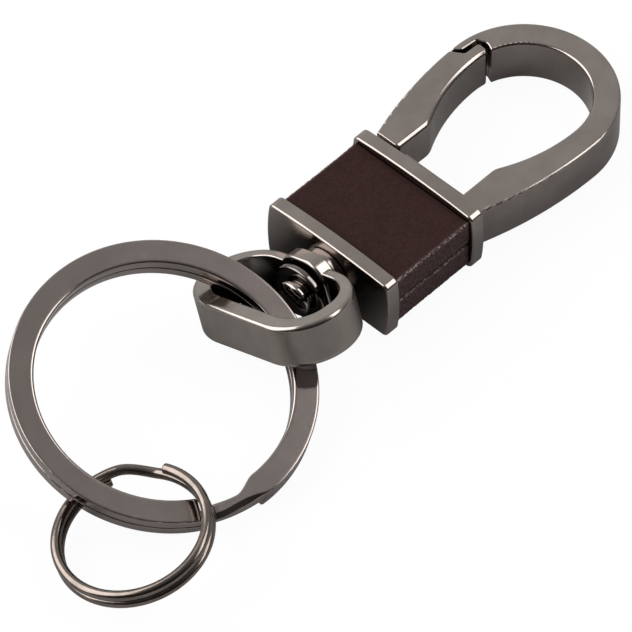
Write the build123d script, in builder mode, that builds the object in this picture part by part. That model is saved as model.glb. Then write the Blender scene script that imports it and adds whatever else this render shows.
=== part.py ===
# Key fob: a sprung snap hook, a leather block between two end bars, a swivel link, a flat split
# ring and a small round-wire split ring.
# Millimetres. The origin is the middle of the swivel bar's back face. +X runs along the swivel's
# axis to the hook, +Y is the gate's side and +Z is the front of the fob.

import os
from math import cos, radians, sin, sqrt

from build123d import *

os.makedirs("parts", exist_ok=True)

# Fits
running_gap = 0.08  # radial, round a pin that turns
press_gap = 0.02  # radial, round a pin that is pressed or peened in
seat_gap = 0.03  # between metal faces that sit together
leather_gap = 0.15  # round the leather

# End bars
bar_thick = 1.6  # along X
bar_width = 15.6  # along Y, at the corners
bar_depth = 7.3  # along Z, at the corners
bar_crown = 0.37  # rise of the front face in the middle
bar_end_crown = 0.3  # bulge of each end face
bar_corner = 0.75
bar_round = 0.22

# Leather block
block_length = 10.3  # between the bars
leather_width = 15.2
leather_inset = 0.5  # below the bars' corners, front and back
leather_edge = 0.35  # rounding of the long outer edges

# Hook
hook_thick = 5.0
bow_reach = 14.6  # from the hook bar's face to the bow's centre
bow_outer_radius = 9.3
bow_inner_radius = 6.6
base_half_width = 6.8  # outside, at the bar
throat_half_width = 4.25  # inside, at the bar
throat_length = 5.55  # the straight stretch above the bar
kink_round = 2.0  # where the throat's straight stretch meets the bow's inside
hook_round = 0.26
lip_reach = 0.7  # lip's tip before the bow's centre
lip_bend = 0.1  # where the lip's underside straightens, before the bow's centre
lip_thick = 0.77
lip_corner = 0.25
nose_reach = 1.98  # nose's lower edge beyond the bow's centre
nose_depth = 2.38  # deepest place of the nose's end face
nose_crook = 0.45  # how far up the end face that is, as a share
nose_round = 0.5
nose_bevel = 0.08  # along the lip's underside and the nose's end
web_length = 1.5  # cross web beside the bar
web_thick = 3.4
web_overlap = 0.5  # how far the web runs into the arm
web_stop = 0.6  # short of the gate

# Tang
tang_width = 6.0
tang_thick = 3.0

# Gate
pivot_height = 3.5  # pivot above the hook bar's face
pivot_inset = 1.573  # pivot inside the hook's outer side
gate_foot_gap = 1.05  # gate's lower end above the hook bar
gate_cheek = 1.0
gate_web = 0.6  # inner wall of the gate beside its slot
wall_stop = 0.5  # that wall ends above the gate's foot
gate_opening = 25.0  # degrees
gate_inner_round = 0.5
gate_round = 0.2
gate_taper = 0.1  # gate's inner side is that much further out at its foot
shoulder_reach = 0.93  # gate's shoulder before the bow's centre
shoulder_round = 0.4
finger_gap = 0.55  # under the lip
finger_round = 0.35
nose_gap = 0.3  # between the gate's end and the nose
tip_lean = 0.14  # how far the gate's end overhangs at its top
lug_radius = 1.2
lug_thick = 1.3
lug_drop = 0.1  # lug's top below the middle plane
lug_heel = 1.9  # from the pivot's height to the lug's inner corner
lug_foot = 0.7  # thickness of the lug's foot on the bar
lug_inset = 0.8  # lug's foot inside the throat's half width
slot_gap = 0.2  # between the lug and the slot's end
slot_play = 0.15  # radial, between the lug and the slot
gate_pin_radius = 0.55
pin_inset = 0.05  # pin's ends inside the bore

# Gate spring
spring_wire = 0.28
spring_turns = 3
spring_pitch = 0.33
spring_radius = 0.95
spring_leg = 2.2

# Swivel
post_radius = 1.1
post_grip = 5.0  # length of the shank inside the tang
outer_washer_radius = 2.85
outer_washer_thick = 1.05
inner_washer_radius = 3.2
inner_washer_thick = 0.65
washer_bevel = 0.15
head_radius = 1.92
head_height = 0.8
head_rim = 0.25
neck_radius = 1.5  # collar between the inner washer and the head
neck_length = 0.4
post_point = 0.15

# Swivel link
link_turn = 22.2  # degrees about the swivel axis, the -Y side lifted
link_rock = 4.0  # degrees, foot lifted: the play of the bore on the post
link_gap = 0.4  # between the outer washer and the link
link_inner_gap = 0.3  # between the link and the inner washer
link_length = 10.56
link_width = 18.24
link_thick = 4.6
link_foot_radius = 5.05  # outer corners away from the hook
link_shoulder_radius = 5.45  # outer corners beside the boss
link_rim = 1.86
link_neck = 1.3  # rim beside the boss
link_round = 0.4
eye_foot_radius = 3.2
eye_shoulder_radius = 3.4
boss_width = 6.2
boss_height = 6.9
boss_corner = 2.4
boss_round = 0.25
eye_round = 0.18
boss_thick = 1.6  # from the link's top, standing into the eye

# Large split ring, flat wire
large_inner_radius = 12.5
large_outer_radius = 15.0
large_wire_thick = 1.22
turn_gap = 0.06  # between the two turns
large_centre = (-21.81, 1.85, 3.26)
large_normal = (-0.063, -0.285, 1.0)
large_joggle_at = -115.5  # degrees round the ring, from +X
large_joggle_span = 8.0
large_top_gap = 0.5  # degrees between the top turn's free end and the joggle
large_low_gap = 17.0
large_end_round = 0.5
large_round = 0.2
joggle_steps = 8

# Small split ring, round wire
small_radius = 7.42  # to the wire's centre
small_wire_radius = 0.53
small_centre = (-35.05, -7.04, 0.36)
small_normal = (-0.215, 0.153, 1.0)
small_joggle_at = 39.0
small_joggle_span = 31.0
small_end_gap = 6.0
small_end_round = 0.2

# Places that follow from the sizes
mid_z = bar_depth / 2
bar_half = bar_thick / 2
block_end = bar_half + block_length
hook_face = block_end + bar_thick
bow_x = hook_face + bow_reach
hook_low = mid_z - hook_thick / 2


def across_axis(x):
    """Plane square to the swivel axis at x, looking away from the hook."""
    return Plane(origin=(x, 0, mid_z), x_dir=(0, 1, 0), z_dir=(-1, 0, 0))


def save(part, label):
    """Label a finished piece and write it as STEP."""
    part.label = label
    export_step(part, f"parts/{label}.step")


def bar_outline():
    """Outline of an end bar: crowned front, bulging ends, flat back."""
    half = bar_width / 2
    with BuildSketch() as outline:
        with BuildLine():
            ThreePointArc((-half, bar_depth), (0, bar_depth + bar_crown), (half, bar_depth))
            ThreePointArc((half, bar_depth), (half + bar_end_crown, mid_z), (half, 0))
            Line((half, 0), (-half, 0))
            ThreePointArc((-half, 0), (-half - bar_end_crown, mid_z), (-half, bar_depth))
        make_face()
        fillet(outline.vertices(), radius=bar_corner)
    return outline.sketch_local


# ---- swivel bar, with the hole for the post
with BuildPart() as swivel_bar:
    with BuildSketch(Plane.YZ.offset(-bar_half)):
        add(bar_outline())
    extrude(amount=bar_thick)
    fillet(swivel_bar.edges().filter_by(Plane.YZ), radius=bar_round)
    with BuildSketch(Plane.YZ.offset(-bar_half)):
        with Locations((0, mid_z)):
            Circle(post_radius + press_gap)
    extrude(amount=bar_thick, mode=Mode.SUBTRACT)
save(swivel_bar.part, "swivel_bar")

# ---- hook bar, with the slot for the tang
with BuildPart() as hook_bar:
    with BuildSketch(Plane.YZ.offset(block_end)):
        add(bar_outline())
    extrude(amount=bar_thick)
    fillet(hook_bar.edges().filter_by(Plane.YZ), radius=bar_round)
    with BuildSketch(Plane.YZ.offset(block_end)):
        with Locations((0, mid_z)):
            Rectangle(tang_width + 2 * seat_gap, tang_thick + 2 * seat_gap)
    extrude(amount=bar_thick, mode=Mode.SUBTRACT)
save(hook_bar.part, "hook_bar")

# ---- leather: a front and a back pad, each channelled over the tang
pad_length = block_length - 2 * leather_gap
channel_width = tang_width + 2 * leather_gap
channel_depth = tang_thick / 2 + leather_gap
pad_thick = mid_z - leather_inset - leather_gap / 2


def leather_pad(front):
    """One pad; it meets the other at the middle plane, apart from a hairline."""
    side = 1 if front else -1
    inner_z = mid_z + side * leather_gap / 2
    outer_z = inner_z + side * pad_thick
    with BuildPart() as pad:
        with BuildSketch(Plane.XY.offset(min(inner_z, outer_z))):
            with Locations((bar_half + block_length / 2, 0)):
                Rectangle(pad_length, leather_width)
        extrude(amount=pad_thick)
        outer_edges = pad.edges().filter_by(Axis.X).group_by(Axis.Z)[-1 if front else 0]
        fillet(outer_edges, radius=leather_edge)
        with BuildSketch(Plane.XY.offset(mid_z - channel_depth)):
            with Locations((bar_half + block_length / 2, 0)):
                Rectangle(block_length, channel_width)
        extrude(amount=2 * channel_depth, mode=Mode.SUBTRACT)
    return pad.part


save(leather_pad(front=True), "leather_front")
save(leather_pad(front=False), "leather_back")

# ---- hook: arm, bow, nose and lip in one outline
side_drop = bow_outer_radius - base_half_width
side_radius = (bow_reach**2 + side_drop**2) / (2 * side_drop)
kink_x = hook_face + throat_length
nose_x = bow_x + nose_reach
lip_tip_x = bow_x - lip_reach
lip_bend_x = bow_x - lip_bend


def outer_side(x):
    """Distance of the hook's outer side from the middle plane, below the bow."""
    return bow_outer_radius - side_radius + sqrt(side_radius**2 - (bow_x - x) ** 2)


def on_bow(radius, x):
    """Distance from the middle plane of a circle round the bow's centre."""
    return sqrt(radius**2 - (x - bow_x) ** 2)


pivot_x = hook_face + pivot_height
pivot = (pivot_x, outer_side(pivot_x) - pivot_inset)
lip_tip = (lip_tip_x, on_bow(bow_outer_radius, lip_tip_x))
lip_inside = on_bow(bow_outer_radius, nose_x) - lip_thick
lip_bend_y = on_bow(bow_outer_radius, lip_bend_x) - lip_thick
nose_foot = (nose_x, on_bow(bow_inner_radius, nose_x))
nose_height = lip_inside - nose_foot[1]
nose_hollow = (bow_x + nose_depth, nose_foot[1] + nose_crook * nose_height)
hollow_round = min(nose_round, nose_height / 4)  # the nose's end face is its wall


def corner_at(sketch, point):
    """The sketch's corner at a point."""
    return sketch.vertices().sort_by_distance((*point, hook_low))[0]


def is_under_lip(edge):
    """Whether a rim edge of the hook belongs to the lip's underside or the nose's end."""
    middle = edge.center()
    reach = sqrt((middle.X - bow_x) ** 2 + middle.Y**2)
    between = bow_inner_radius + nose_bevel < reach < bow_outer_radius - hook_round
    return middle.Y > 0 and lip_tip_x < middle.X < nose_hollow[0] and between


with BuildPart() as hook_body:
    with BuildSketch(Plane.XY.offset(hook_low)) as hook_outline:
        with BuildLine():
            TangentArc(
                (bow_x, -bow_outer_radius), (hook_face, -base_half_width), tangent=(-1, 0)
            )
            ThreePointArc(
                (bow_x, -bow_outer_radius), (bow_x + bow_outer_radius, 0), lip_tip
            )
            Polyline(
                lip_tip, (lip_bend_x, lip_bend_y), (nose_x, lip_inside), nose_hollow, nose_foot
            )
            ThreePointArc(nose_foot, (bow_x + bow_inner_radius, 0), (bow_x, -bow_inner_radius))
            TangentArc(
                (bow_x, -bow_inner_radius), (kink_x, -throat_half_width), tangent=(-1, 0)
            )
            Polyline(
                (kink_x, -throat_half_width),
                (hook_face, -throat_half_width),
                (hook_face, -base_half_width),
            )
        make_face()
        fillet(corner_at(hook_outline, (kink_x, -throat_half_width)), radius=kink_round)
        fillet(corner_at(hook_outline, (lip_bend_x, lip_bend_y)), radius=nose_round)
        fillet(corner_at(hook_outline, (nose_x, lip_inside)), radius=lip_corner)
        fillet(corner_at(hook_outline, nose_hollow), radius=hollow_round)
    extrude(amount=hook_thick)
    rims = hook_body.faces().filter_by(Axis.Z).edges()
    rims = rims.filter_by(lambda edge: edge.center().X > hook_face + hook_round)
    under_lip = rims.filter_by(is_under_lip)
    fillet([edge for edge in rims if edge not in under_lip], radius=hook_round)
    rims = hook_body.faces().filter_by(Axis.Z).edges()
    chamfer(rims.filter_by(is_under_lip), length=nose_bevel)
    # cross web beside the bar, and the tang through the block
    with BuildSketch(Plane.XY.offset(mid_z - web_thick / 2)):
        with BuildLine():
            Polyline(
                (hook_face, -throat_half_width - web_overlap),
                (hook_face + web_length, -throat_half_width - web_overlap),
                (hook_face + web_length, throat_half_width - web_stop),
                (hook_face, throat_half_width - web_stop),
                close=True,
            )
        make_face()
    extrude(amount=web_thick)
    with BuildSketch(Plane.XY.offset(mid_z - tang_thick / 2)):
        with Locations(((bar_half + seat_gap + hook_face) / 2, 0)):
            Rectangle(hook_face - bar_half - seat_gap, tang_width)
    extrude(amount=tang_thick)
    # lug for the gate, swept clear of the gate's inner wall as the gate opens
    lean = radians(gate_opening)
    lug_low = mid_z - lug_thick - lug_drop
    inner_start = (pivot[0] - lug_radius * sin(lean), pivot[1] - lug_radius * cos(lean))
    inner_end = (
        inner_start[0] - lug_heel * cos(lean),
        inner_start[1] + lug_heel * sin(lean),
    )
    with BuildSketch(Plane.XY.offset(lug_low)):
        with Locations(pivot):
            Circle(lug_radius)
        with BuildLine():
            Polyline(
                pivot,
                inner_start,
                inner_end,
                (hook_face + lug_foot, inner_end[1] - slot_play),
                (hook_face + lug_foot, throat_half_width - lug_inset),
                (hook_face, throat_half_width - lug_inset),
                (hook_face, pivot[1] + lug_radius),
                (pivot[0], pivot[1] + lug_radius),
                close=True,
            )
        make_face()
    extrude(amount=lug_thick)
    with BuildSketch(Plane.XY.offset(lug_low)):
        with Locations(pivot):
            Circle(gate_pin_radius + press_gap)
    extrude(amount=lug_thick, mode=Mode.SUBTRACT)
    # bore for the post in the tang's end
    with BuildSketch(Plane.YZ.offset(bar_half)):
        with Locations((0, mid_z)):
            Circle(post_radius + press_gap)
    extrude(amount=post_grip + seat_gap, mode=Mode.SUBTRACT)
save(hook_body.part, "hook_body")

# ---- gate: a solid arm whose foot is slotted over the lug
foot_x = hook_face + gate_foot_gap
slot_low = mid_z - hook_thick / 2 + gate_cheek
slot_height = hook_thick - 2 * gate_cheek
coil_low = lug_low + lug_thick + seat_gap + spring_wire / 2
coil_high = coil_low + spring_turns * spring_pitch
leg_side = pivot[1] - spring_radius
foot_inside = throat_half_width + gate_taper
slot_inside = foot_inside + gate_web
slot_end = pivot[0] + lug_radius + slot_gap
tip_x = nose_x - nose_gap
tip = (tip_x, on_bow(bow_inner_radius, tip_x))
tip_top = (tip_x + tip_lean, lip_inside - finger_gap + (lip_bend_y - lip_inside) / 2)
shoulder_x = bow_x - shoulder_reach
shoulder = (shoulder_x, outer_side(shoulder_x))
finger_start = (lip_bend_x, lip_bend_y - finger_gap)


def is_inner_rim(edge):
    """Whether a rim edge of the gate faces the hook's throat."""
    middle = edge.center()
    reach = sqrt((middle.X - bow_x) ** 2 + middle.Y**2)
    if middle.X > bow_x:
        return reach < bow_inner_radius + gate_round and edge.geom_type == GeomType.CIRCLE
    share = (middle.X - hook_face) / (bow_x - hook_face)
    throat = throat_half_width + (bow_inner_radius - throat_half_width) * share
    return middle.X > foot_x + gate_round and middle.Y < throat + gate_web


with BuildPart() as gate:
    with BuildSketch(Plane.XY.offset(hook_low)) as gate_outline:
        with BuildLine():
            ThreePointArc(
                (foot_x, outer_side(foot_x)),
                ((foot_x + shoulder_x) / 2, outer_side((foot_x + shoulder_x) / 2)),
                shoulder,
            )
            Polyline(shoulder, finger_start, tip_top, tip)
            ThreePointArc(
                tip,
                ((tip_x + bow_x) / 2, on_bow(bow_inner_radius, (tip_x + bow_x) / 2)),
                (bow_x, bow_inner_radius),
            )
            TangentArc((bow_x, bow_inner_radius), (kink_x, throat_half_width), tangent=(-1, 0))
            Polyline(
                (kink_x, throat_half_width), (foot_x, foot_inside), (foot_x, outer_side(foot_x))
            )
        make_face()
        fillet(corner_at(gate_outline, (kink_x, throat_half_width)), radius=kink_round)
        fillet(corner_at(gate_outline, shoulder), radius=shoulder_round)
        fillet(corner_at(gate_outline, finger_start), radius=shoulder_round)
        fillet(corner_at(gate_outline, tip_top), radius=finger_round)
    extrude(amount=hook_thick)
    rims = gate.faces().filter_by(Axis.Z).edges()
    inner_rims = rims.filter_by(is_inner_rim)
    fillet([edge for edge in rims if edge not in inner_rims], radius=gate_round)
    rims = gate.faces().filter_by(Axis.Z).edges()
    fillet(rims.filter_by(is_inner_rim), radius=gate_inner_round)
    # slot over the lug, open to the outside and below
    with BuildSketch(Plane.XY.offset(slot_low)):
        with BuildLine():
            Polyline(
                (hook_face, slot_inside),
                (pivot[0], slot_inside),
                (slot_end, pivot[1]),
                (slot_end, bow_outer_radius),
                (hook_face, bow_outer_radius),
                close=True,
            )
        make_face()
        with Locations(pivot):
            Circle(lug_radius + slot_play)
    extrude(amount=slot_height, mode=Mode.SUBTRACT)
    # the inner wall stops short of the lug's foot
    with BuildSketch(Plane.XY.offset(slot_low)):
        with Locations((foot_x, foot_inside)):
            Rectangle(2 * wall_stop, 4 * gate_web)
    extrude(amount=slot_height, mode=Mode.SUBTRACT)
    # blind bore for the pin, from the back
    with BuildSketch(Plane.XY.offset(hook_low)):
        with Locations(pivot):
            Circle(gate_pin_radius + running_gap)
    extrude(amount=hook_thick - gate_cheek / 2, mode=Mode.SUBTRACT)
    # hole for the spring's leg
    with BuildSketch(Plane(origin=(pivot[0], leg_side, coil_high), z_dir=(1, 0, 0))):
        Circle(spring_wire / 2 + running_gap)
    extrude(amount=spring_leg + 2 * running_gap, mode=Mode.SUBTRACT)
save(gate.part, "gate")

# ---- gate pin
with BuildPart() as gate_pin:
    with BuildSketch(Plane.XY.offset(hook_low + pin_inset)):
        with Locations(pivot):
            Circle(gate_pin_radius)
    extrude(amount=hook_thick - gate_cheek / 2 - 2 * pin_inset)
save(gate_pin.part, "gate_pin")

# ---- gate spring: a coil round the pin above the lug, one leg on the bar and one in the gate
with BuildPart() as gate_spring:
    with BuildLine(Plane(origin=(*pivot, coil_low), x_dir=(0, -1, 0), z_dir=(0, 0, 1))) as coil:
        Helix(pitch=spring_pitch, height=spring_turns * spring_pitch, radius=spring_radius)
    with BuildSketch(Plane(coil.line @ 0, z_dir=coil.line % 0)):
        Circle(spring_wire / 2)
    sweep(is_frenet=True)
    with BuildSketch(Plane(origin=(pivot[0], leg_side, coil_low), z_dir=(-1, 0, 0))):
        Circle(spring_wire / 2)
    extrude(amount=pivot_height - 2 * seat_gap)
    with BuildSketch(Plane(origin=(pivot[0], leg_side, coil_high), z_dir=(1, 0, 0))):
        Circle(spring_wire / 2)
    extrude(amount=spring_leg)
save(gate_spring.part, "gate_spring")


def washer(x, radius, thick):
    """A bored, bevelled disc on the swivel axis whose hook side is at x."""
    with BuildPart() as disc:
        with BuildSketch(across_axis(x)):
            Circle(radius)
        extrude(amount=thick)
        chamfer(disc.edges().filter_by(GeomType.CIRCLE), length=washer_bevel)
        with BuildSketch(across_axis(x)):
            Circle(post_radius + running_gap)
        extrude(amount=thick, mode=Mode.SUBTRACT)
    return disc.part


# ---- outer washer, between the swivel bar and the link
outer_washer_x = -bar_half - seat_gap
save(washer(outer_washer_x, outer_washer_radius, outer_washer_thick), "outer_washer")

# ---- swivel link, a wide loop with a round boss, rocked on the post about the boss's middle
link_top = outer_washer_x - outer_washer_thick - link_gap
link_foot = link_top - link_length
boss_middle = link_top - boss_thick / 2
link_plane = Plane(origin=(boss_middle, 0, mid_z)).rotated((-link_turn, link_rock, 0))
link_plane = link_plane.shift_origin(link_plane.from_local_coords(Vector(-boss_middle, 0, 0)))
boss_plane = Plane(
    origin=link_plane.from_local_coords(Vector(link_top, 0, 0)),
    x_dir=link_plane.y_dir,
    z_dir=-link_plane.x_dir,
)
with BuildPart() as swivel_link:
    with BuildSketch(link_plane.offset(-link_thick / 2)) as loop:
        with Locations(((link_top + link_foot) / 2, 0)):
            Rectangle(link_length, link_width)
        fillet(loop.vertices().sort_by(Axis.X)[:2], radius=link_foot_radius)
        fillet(loop.vertices().sort_by(Axis.X)[-2:], radius=link_shoulder_radius)
    extrude(amount=link_thick)
    fillet(swivel_link.edges(), radius=link_round)
    with BuildSketch(link_plane.offset(-link_thick)) as eye:
        with Locations(((link_top - link_neck + link_foot + link_rim) / 2, 0)):
            Rectangle(link_length - link_neck - link_rim, link_width - 2 * link_rim)
        fillet(eye.vertices().sort_by(Axis.X)[:2], radius=eye_foot_radius)
        fillet(eye.vertices().sort_by(Axis.X)[-2:], radius=eye_shoulder_radius)
    extrude(amount=2 * link_thick, mode=Mode.SUBTRACT)
    link_sides = swivel_link.faces().sort_by(Axis(link_plane.origin, link_plane.z_dir))
    eye_rims = [
        edge
        for side in (link_sides[0], link_sides[-1])
        for wire in side.inner_wires()
        for edge in wire.edges()
    ]
    fillet(eye_rims, radius=eye_round)
    with BuildSketch(boss_plane):
        RectangleRounded(boss_width, boss_height, boss_corner)
    extrude(amount=boss_thick)
    boss_inside = boss_plane.origin + boss_plane.z_dir * boss_thick
    boss_face = swivel_link.faces().filter_by(GeomType.PLANE).sort_by_distance(boss_inside)[0]
    fillet(boss_face.edges(), radius=boss_round)
    with BuildSketch(boss_plane):
        Circle(post_radius + running_gap)
    extrude(amount=boss_thick, mode=Mode.SUBTRACT)
save(swivel_link.part, "swivel_link")

# ---- inner washer, under the post's head
inner_washer_x = link_top - boss_thick - link_inner_gap
save(washer(inner_washer_x, inner_washer_radius, inner_washer_thick), "inner_washer")

# ---- post: pressed into the bar and the tang, with a domed head inside the link
neck_x = inner_washer_x - inner_washer_thick - seat_gap
head_x = neck_x - neck_length
post_end_x = bar_half + post_grip
with BuildPart() as swivel_post:
    with BuildSketch(Plane.XY.offset(mid_z)):
        with BuildLine():
            Polyline(
                (head_x - head_height, 0),
                (post_end_x, 0),
                (post_end_x, post_radius - post_point),
                (post_end_x - post_point, post_radius),
                (neck_x, post_radius),
                (neck_x, neck_radius),
                (head_x, neck_radius),
                (head_x, head_radius),
                (head_x - head_rim, head_radius),
            )
            TangentArc(
                (head_x - head_height, 0), (head_x - head_rim, head_radius), tangent=(0, 1)
            )
        make_face()
    revolve(axis=Axis((0, 0, mid_z), (1, 0, 0)))
save(swivel_post.part, "swivel_post")


def ring_plane(centre, normal):
    """Plane of a split ring; its x direction is the row's +X laid into the ring."""
    normal = Vector(normal).normalized()
    return Plane(origin=centre, x_dir=Vector(1, 0, 0) - normal * normal.X, z_dir=normal)


def turn_point(radius, angle, height=0.0):
    """Point of a ring in its own plane, by angle in degrees."""
    return (radius * cos(radians(angle)), radius * sin(radians(angle)), height)


def joggle_line(radius, start, end, climb):
    """Smooth curve on the cylinder of a ring from its lower to its upper turn."""
    steps = [step / joggle_steps for step in range(joggle_steps + 1)]
    points = [
        turn_point(radius, start + (end - start) * t, climb * (t * t * (3 - 2 * t) - 0.5))
        for t in steps
    ]
    along = [turn_point(1, angle + 90) for angle in (start, end)]
    return Spline(points, tangents=along)


# ---- large split ring: two flat turns of one wire, joined by a joggle
large_plane = ring_plane(large_centre, large_normal)
large_low = large_joggle_at - large_joggle_span / 2
large_high = large_joggle_at + large_joggle_span / 2
large_step = large_wire_thick + turn_gap


def flat_turn(joined, free, low_z):
    """One turn of flat wire from its joined end round to its free end, in the ring's plane."""
    middle = (joined + free) / 2
    with BuildPart() as turn:
        with BuildSketch(Plane.XY.offset(low_z)) as face:
            with BuildLine():
                ThreePointArc(
                    *(turn_point(large_outer_radius, angle)[:2] for angle in (joined, middle, free))
                )
                ThreePointArc(
                    *(turn_point(large_inner_radius, angle)[:2] for angle in (joined, middle, free))
                )
                for angle in (joined, free):
                    Line(
                        turn_point(large_inner_radius, angle)[:2],
                        turn_point(large_outer_radius, angle)[:2],
                    )
            make_face()
            near = face.vertices().sort_by_distance(turn_point(large_inner_radius, free))[0]
            far = face.vertices().sort_by_distance(turn_point(large_outer_radius, free))[0]
            fillet([near, far], radius=large_end_round)
        extrude(amount=large_wire_thick)
        joint = turn_point((large_inner_radius + large_outer_radius) / 2, joined)
        rims = turn.faces().filter_by(Axis.Z).edges()
        joined_edges = rims.sort_by_distance((joint[0], joint[1], low_z))[:1]
        joined_edges += rims.sort_by_distance((joint[0], joint[1], low_z + large_wire_thick))[:1]
        fillet([edge for edge in rims if edge not in joined_edges], radius=large_round)
    return turn.part


large_turns = (
    flat_turn(large_high, large_low + 360 - large_top_gap, turn_gap / 2),
    flat_turn(large_low, large_high + large_low_gap - 360, -turn_gap / 2 - large_wire_thick),
)
large_middle = (large_inner_radius + large_outer_radius) / 2
with BuildPart() as large_ramp:
    with BuildLine() as ramp_line:
        joggle_line(large_middle, large_low, large_high, large_step)
    start = ramp_line.line @ 0
    with BuildSketch(
        Plane(origin=start, x_dir=(start.X, start.Y, 0), z_dir=ramp_line.line % 0)
    ) as section:
        Rectangle(large_outer_radius - large_inner_radius, large_wire_thick)
        fillet(section.vertices(), radius=large_round)
    upright = ramp_line.line.edge().moved(Location((0, 0, large_step)))
    sweep(binormal=upright)
large_ring = large_turns[0] + large_ramp.part + large_turns[1]
save(large_plane.location * large_ring, "large_split_ring")

# ---- small split ring: the same in round wire
small_plane = ring_plane(small_centre, small_normal)
small_low = small_joggle_at - small_joggle_span / 2
small_high = small_joggle_at + small_joggle_span / 2
small_step = 2 * small_wire_radius + turn_gap


def round_turn(joined, free, height):
    """One turn of round wire from its joined end round to its free end, in the ring's plane."""
    start = turn_point(small_radius, joined, height)
    onward = turn_point(1, joined + 90)
    turn_axis = Axis.Z if free > joined else -Axis.Z
    with BuildPart() as turn:
        with BuildSketch(Plane(origin=start, x_dir=turn_point(1, joined), z_dir=onward)):
            Circle(small_wire_radius)
        revolve(axis=turn_axis, revolution_arc=abs(free - joined))
        free_end = turn.faces().filter_by(GeomType.PLANE)
        free_end = free_end.sort_by_distance(turn_point(small_radius, free, height))[0]
        fillet(free_end.edges(), radius=small_end_round)
    return turn.part


with BuildPart() as small_ramp:
    with BuildLine() as ramp_line:
        joggle_line(small_radius, small_low, small_high, small_step)
    with BuildSketch(Plane(origin=ramp_line.line @ 0, z_dir=ramp_line.line % 0)):
        Circle(small_wire_radius)
    sweep()
small_ring = (
    round_turn(small_high, small_low + 360 - small_end_gap, small_step / 2)
    + small_ramp.part
    + round_turn(small_low, small_high + small_end_gap - 360, -small_step / 2)
)
save(small_plane.location * small_ring, "small_split_ring")

print("gate pivot", (*pivot, mid_z))
for name, plane in (("link", link_plane), ("large", large_plane), ("small", small_plane)):
    print(name, "plane", plane.origin, plane.x_dir, plane.y_dir, plane.z_dir)
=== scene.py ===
from math import atan2, cos, pi, radians, sin

import bpy
import numpy as np
from mathutils import Matrix, Vector


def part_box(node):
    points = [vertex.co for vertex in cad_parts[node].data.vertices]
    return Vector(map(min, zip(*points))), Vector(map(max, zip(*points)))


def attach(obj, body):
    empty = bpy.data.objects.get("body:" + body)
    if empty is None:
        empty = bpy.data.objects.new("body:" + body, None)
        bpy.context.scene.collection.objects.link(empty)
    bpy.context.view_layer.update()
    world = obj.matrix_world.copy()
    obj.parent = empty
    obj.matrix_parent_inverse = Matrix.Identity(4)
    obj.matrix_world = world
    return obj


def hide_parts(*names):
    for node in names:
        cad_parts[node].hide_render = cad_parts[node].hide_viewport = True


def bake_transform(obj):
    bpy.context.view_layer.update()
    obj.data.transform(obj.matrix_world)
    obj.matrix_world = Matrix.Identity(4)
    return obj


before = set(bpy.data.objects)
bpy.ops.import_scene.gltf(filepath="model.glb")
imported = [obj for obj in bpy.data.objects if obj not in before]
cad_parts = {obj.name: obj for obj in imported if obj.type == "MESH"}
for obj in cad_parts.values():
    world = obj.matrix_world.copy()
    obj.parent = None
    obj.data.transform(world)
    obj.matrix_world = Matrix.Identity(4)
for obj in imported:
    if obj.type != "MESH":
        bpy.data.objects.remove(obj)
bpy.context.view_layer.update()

print("frame loaded:", len(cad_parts), "nodes")
scene = bpy.context.scene
scene.view_settings.view_transform = "Standard"

# Camera: it looks down on the front from the rings' end, on the side away from the gate
cameraView = {
    "azimuth": -46.6,
    "elevation": 50.2,
    "distance": 0.9,
    "slideRight": -0.00167,
    "slideUp": -0.00244,
    "fieldWidth": 0.061063,  # seen at the origin
    "sensor": 36.0,
    "clip": (0.05, 20),
}


# place = back * distance + right * slideRight + up * slideUp; lens = sensor * distance / fieldWidth
def makeCamera():
    a, e = radians(cameraView["azimuth"]), radians(cameraView["elevation"])
    back = Vector((sin(a) * cos(e), -cos(a) * cos(e), sin(e)))
    right = Vector((cos(a), sin(a), 0))
    up = back.cross(right)
    data = bpy.data.cameras.new("camera")
    data.sensor_width = cameraView["sensor"]
    data.lens = cameraView["sensor"] * cameraView["distance"] / cameraView["fieldWidth"]
    data.clip_start, data.clip_end = cameraView["clip"]
    camera = bpy.data.objects.new("camera", data)
    place = back * cameraView["distance"] + right * cameraView["slideRight"] + up * cameraView["slideUp"]
    turn = Matrix((right, up, back)).transposed().to_4x4()
    camera.matrix_world = Matrix.Translation(place) @ turn
    scene.collection.objects.link(camera)
    bpy.context.scene.camera = camera


makeCamera()
print("camera done")


# a socket that takes part in sums, with one method for any other node
class Shade:
    def __init__(self, tree, socket):
        self.tree, self.socket = tree, socket

    def math(self, operation, *values):
        return self.node("ShaderNodeMath", {"operation": operation}, *values)

    # settings come first, then values or links by a socket's number or name
    def node(self, kind, settings=None, *values, output=0, **named):
        made = self.tree.nodes.new(kind)
        for name, value in (settings or {}).items():
            if name == "stops":
                band = made.color_ramp
                while len(band.elements) < len(value):
                    band.elements.new(0.5)
                for element, (place, colour) in zip(band.elements, value):
                    element.position = place
                    element.color = (*colour, 1) if hasattr(colour, "__len__") else (colour,) * 3 + (1,)
            else:
                setattr(made, name, value)
        for slot, value in [*enumerate(values), *named.items()]:
            if isinstance(slot, str):
                socket = next(s for s in made.inputs if slot in (s.identifier, s.name.replace(" ", "_")))
            else:
                socket = made.inputs[slot]
            if isinstance(value, Shade):
                self.tree.links.new(value.socket, socket)
            else:
                socket.default_value = value
        return Shade(self.tree, made.outputs[output])

    def __add__(self, other):
        return self.math("ADD", self, other)

    def __radd__(self, other):
        return self.math("ADD", other, self)

    def __sub__(self, other):
        return self.math("SUBTRACT", self, other)

    def __rsub__(self, other):
        return self.math("SUBTRACT", other, self)

    def __mul__(self, other):
        return self.math("MULTIPLY", self, other)

    def __rmul__(self, other):
        return self.math("MULTIPLY", other, self)

    def __pow__(self, other):
        return self.math("POWER", self, other)


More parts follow.
